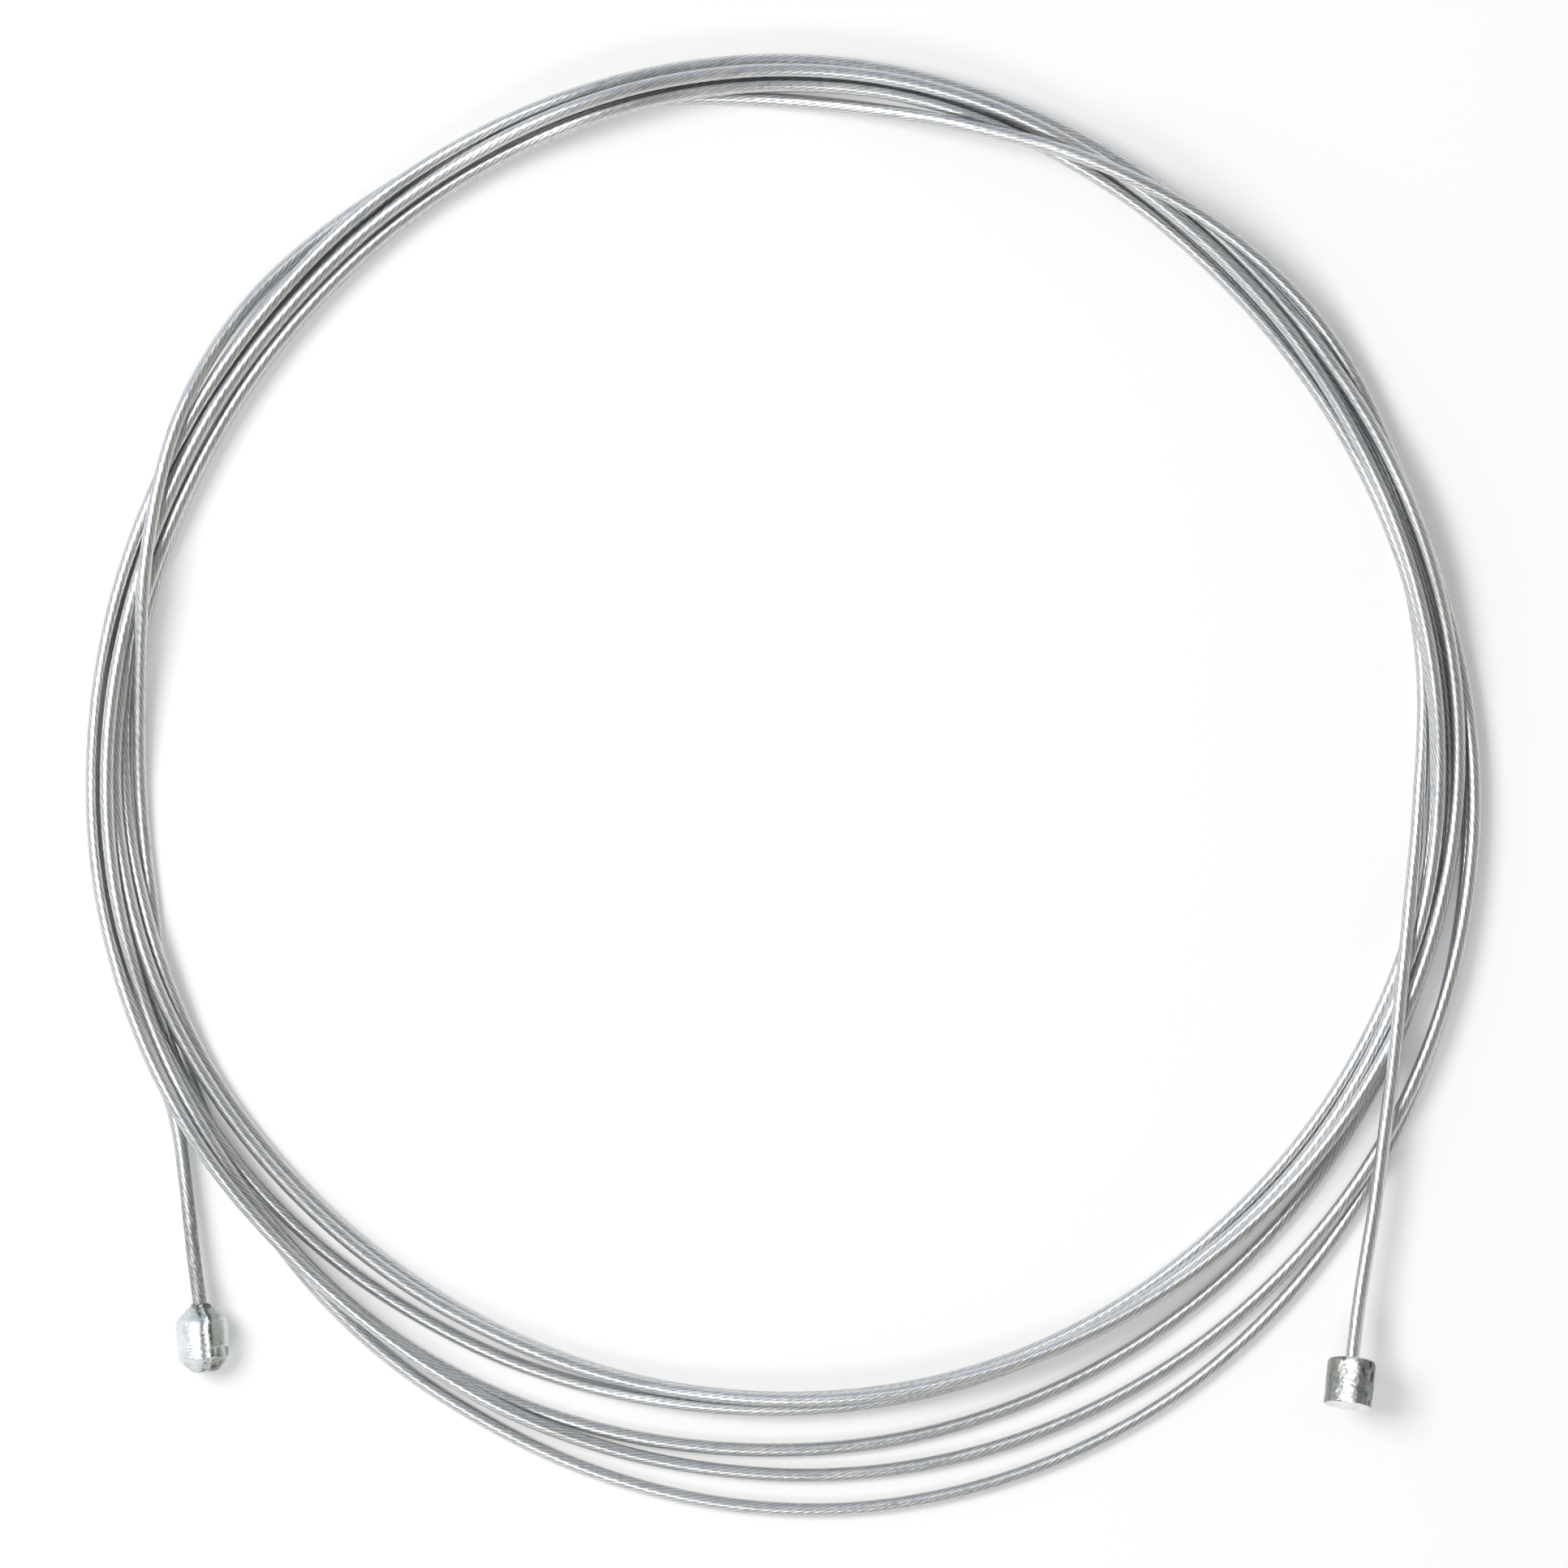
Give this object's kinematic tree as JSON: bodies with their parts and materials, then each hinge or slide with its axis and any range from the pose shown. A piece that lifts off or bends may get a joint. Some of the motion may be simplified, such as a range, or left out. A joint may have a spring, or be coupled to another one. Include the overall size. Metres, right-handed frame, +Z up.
{
  "type": "shift cable",
  "caption": "Stranded steel inner wire with a cast cylindrical head at each end, wound into a loose round coil and lying flat.",
  "frame": {"origin": "middle of the coil seen from above, on the surface that it lies on", "axes": "+Z up out of the plane of the coil, +Y away from the two heads, +X to the side of the small head"},
  "size_m": [0.1198, 0.1255, 0.0071],
  "materials": {
    "strand": "galvanised, twisted from fine wires",
    "heads": "as cast, slightly rough"
  },
  "bodies": {
    "root": {"wire_strand": "strand", "small_head": "heads", "large_head": "heads"}
  },
  "joints": []
}
